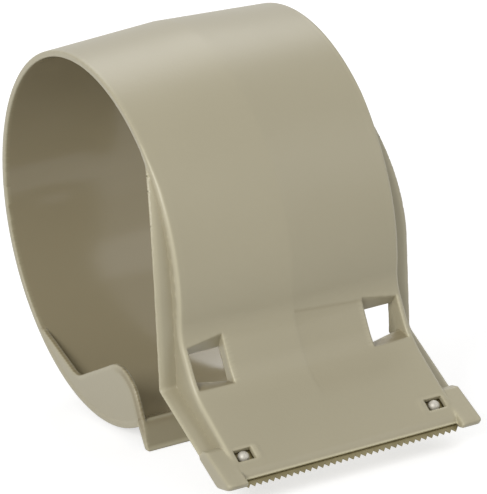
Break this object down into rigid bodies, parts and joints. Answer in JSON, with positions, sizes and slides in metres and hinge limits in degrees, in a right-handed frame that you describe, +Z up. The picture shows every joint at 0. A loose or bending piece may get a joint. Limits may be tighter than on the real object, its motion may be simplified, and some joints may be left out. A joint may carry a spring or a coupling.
{
  "type": "packing tape dispenser",
  "caption": "Hand-held packing tape dispenser: an open plastic spring ring wraps the tape roll, with side tabs, a windowed front wall and a nose that holds a toothed steel cutter.",
  "frame": {"origin": "middle of the length and width, on the table that it stands on", "axes": "+X along the ring's axis, -Y towards the nose and its cutter, +Z up"},
  "size_m": [0.0892, 0.159, 0.1255],
  "materials": {
    "shell": "satin",
    "cutter": "satin",
    "studs": "polished"
  },
  "bodies": {
    "front": {"front_shell": "shell", "cutter_blade": "cutter", "catch_studs": "studs"},
    "band": {"spring_band": "shell"}
  },
  "joints": [
    {"name": "band_flex", "type": "hinge", "parent": "front", "child": "band", "pos_m": [0, 0.06333, 0.10183], "axis": [1, 0, 0], "range_deg": [-3, 8], "stiffness_Nm_per_rad": 4}
  ]
}
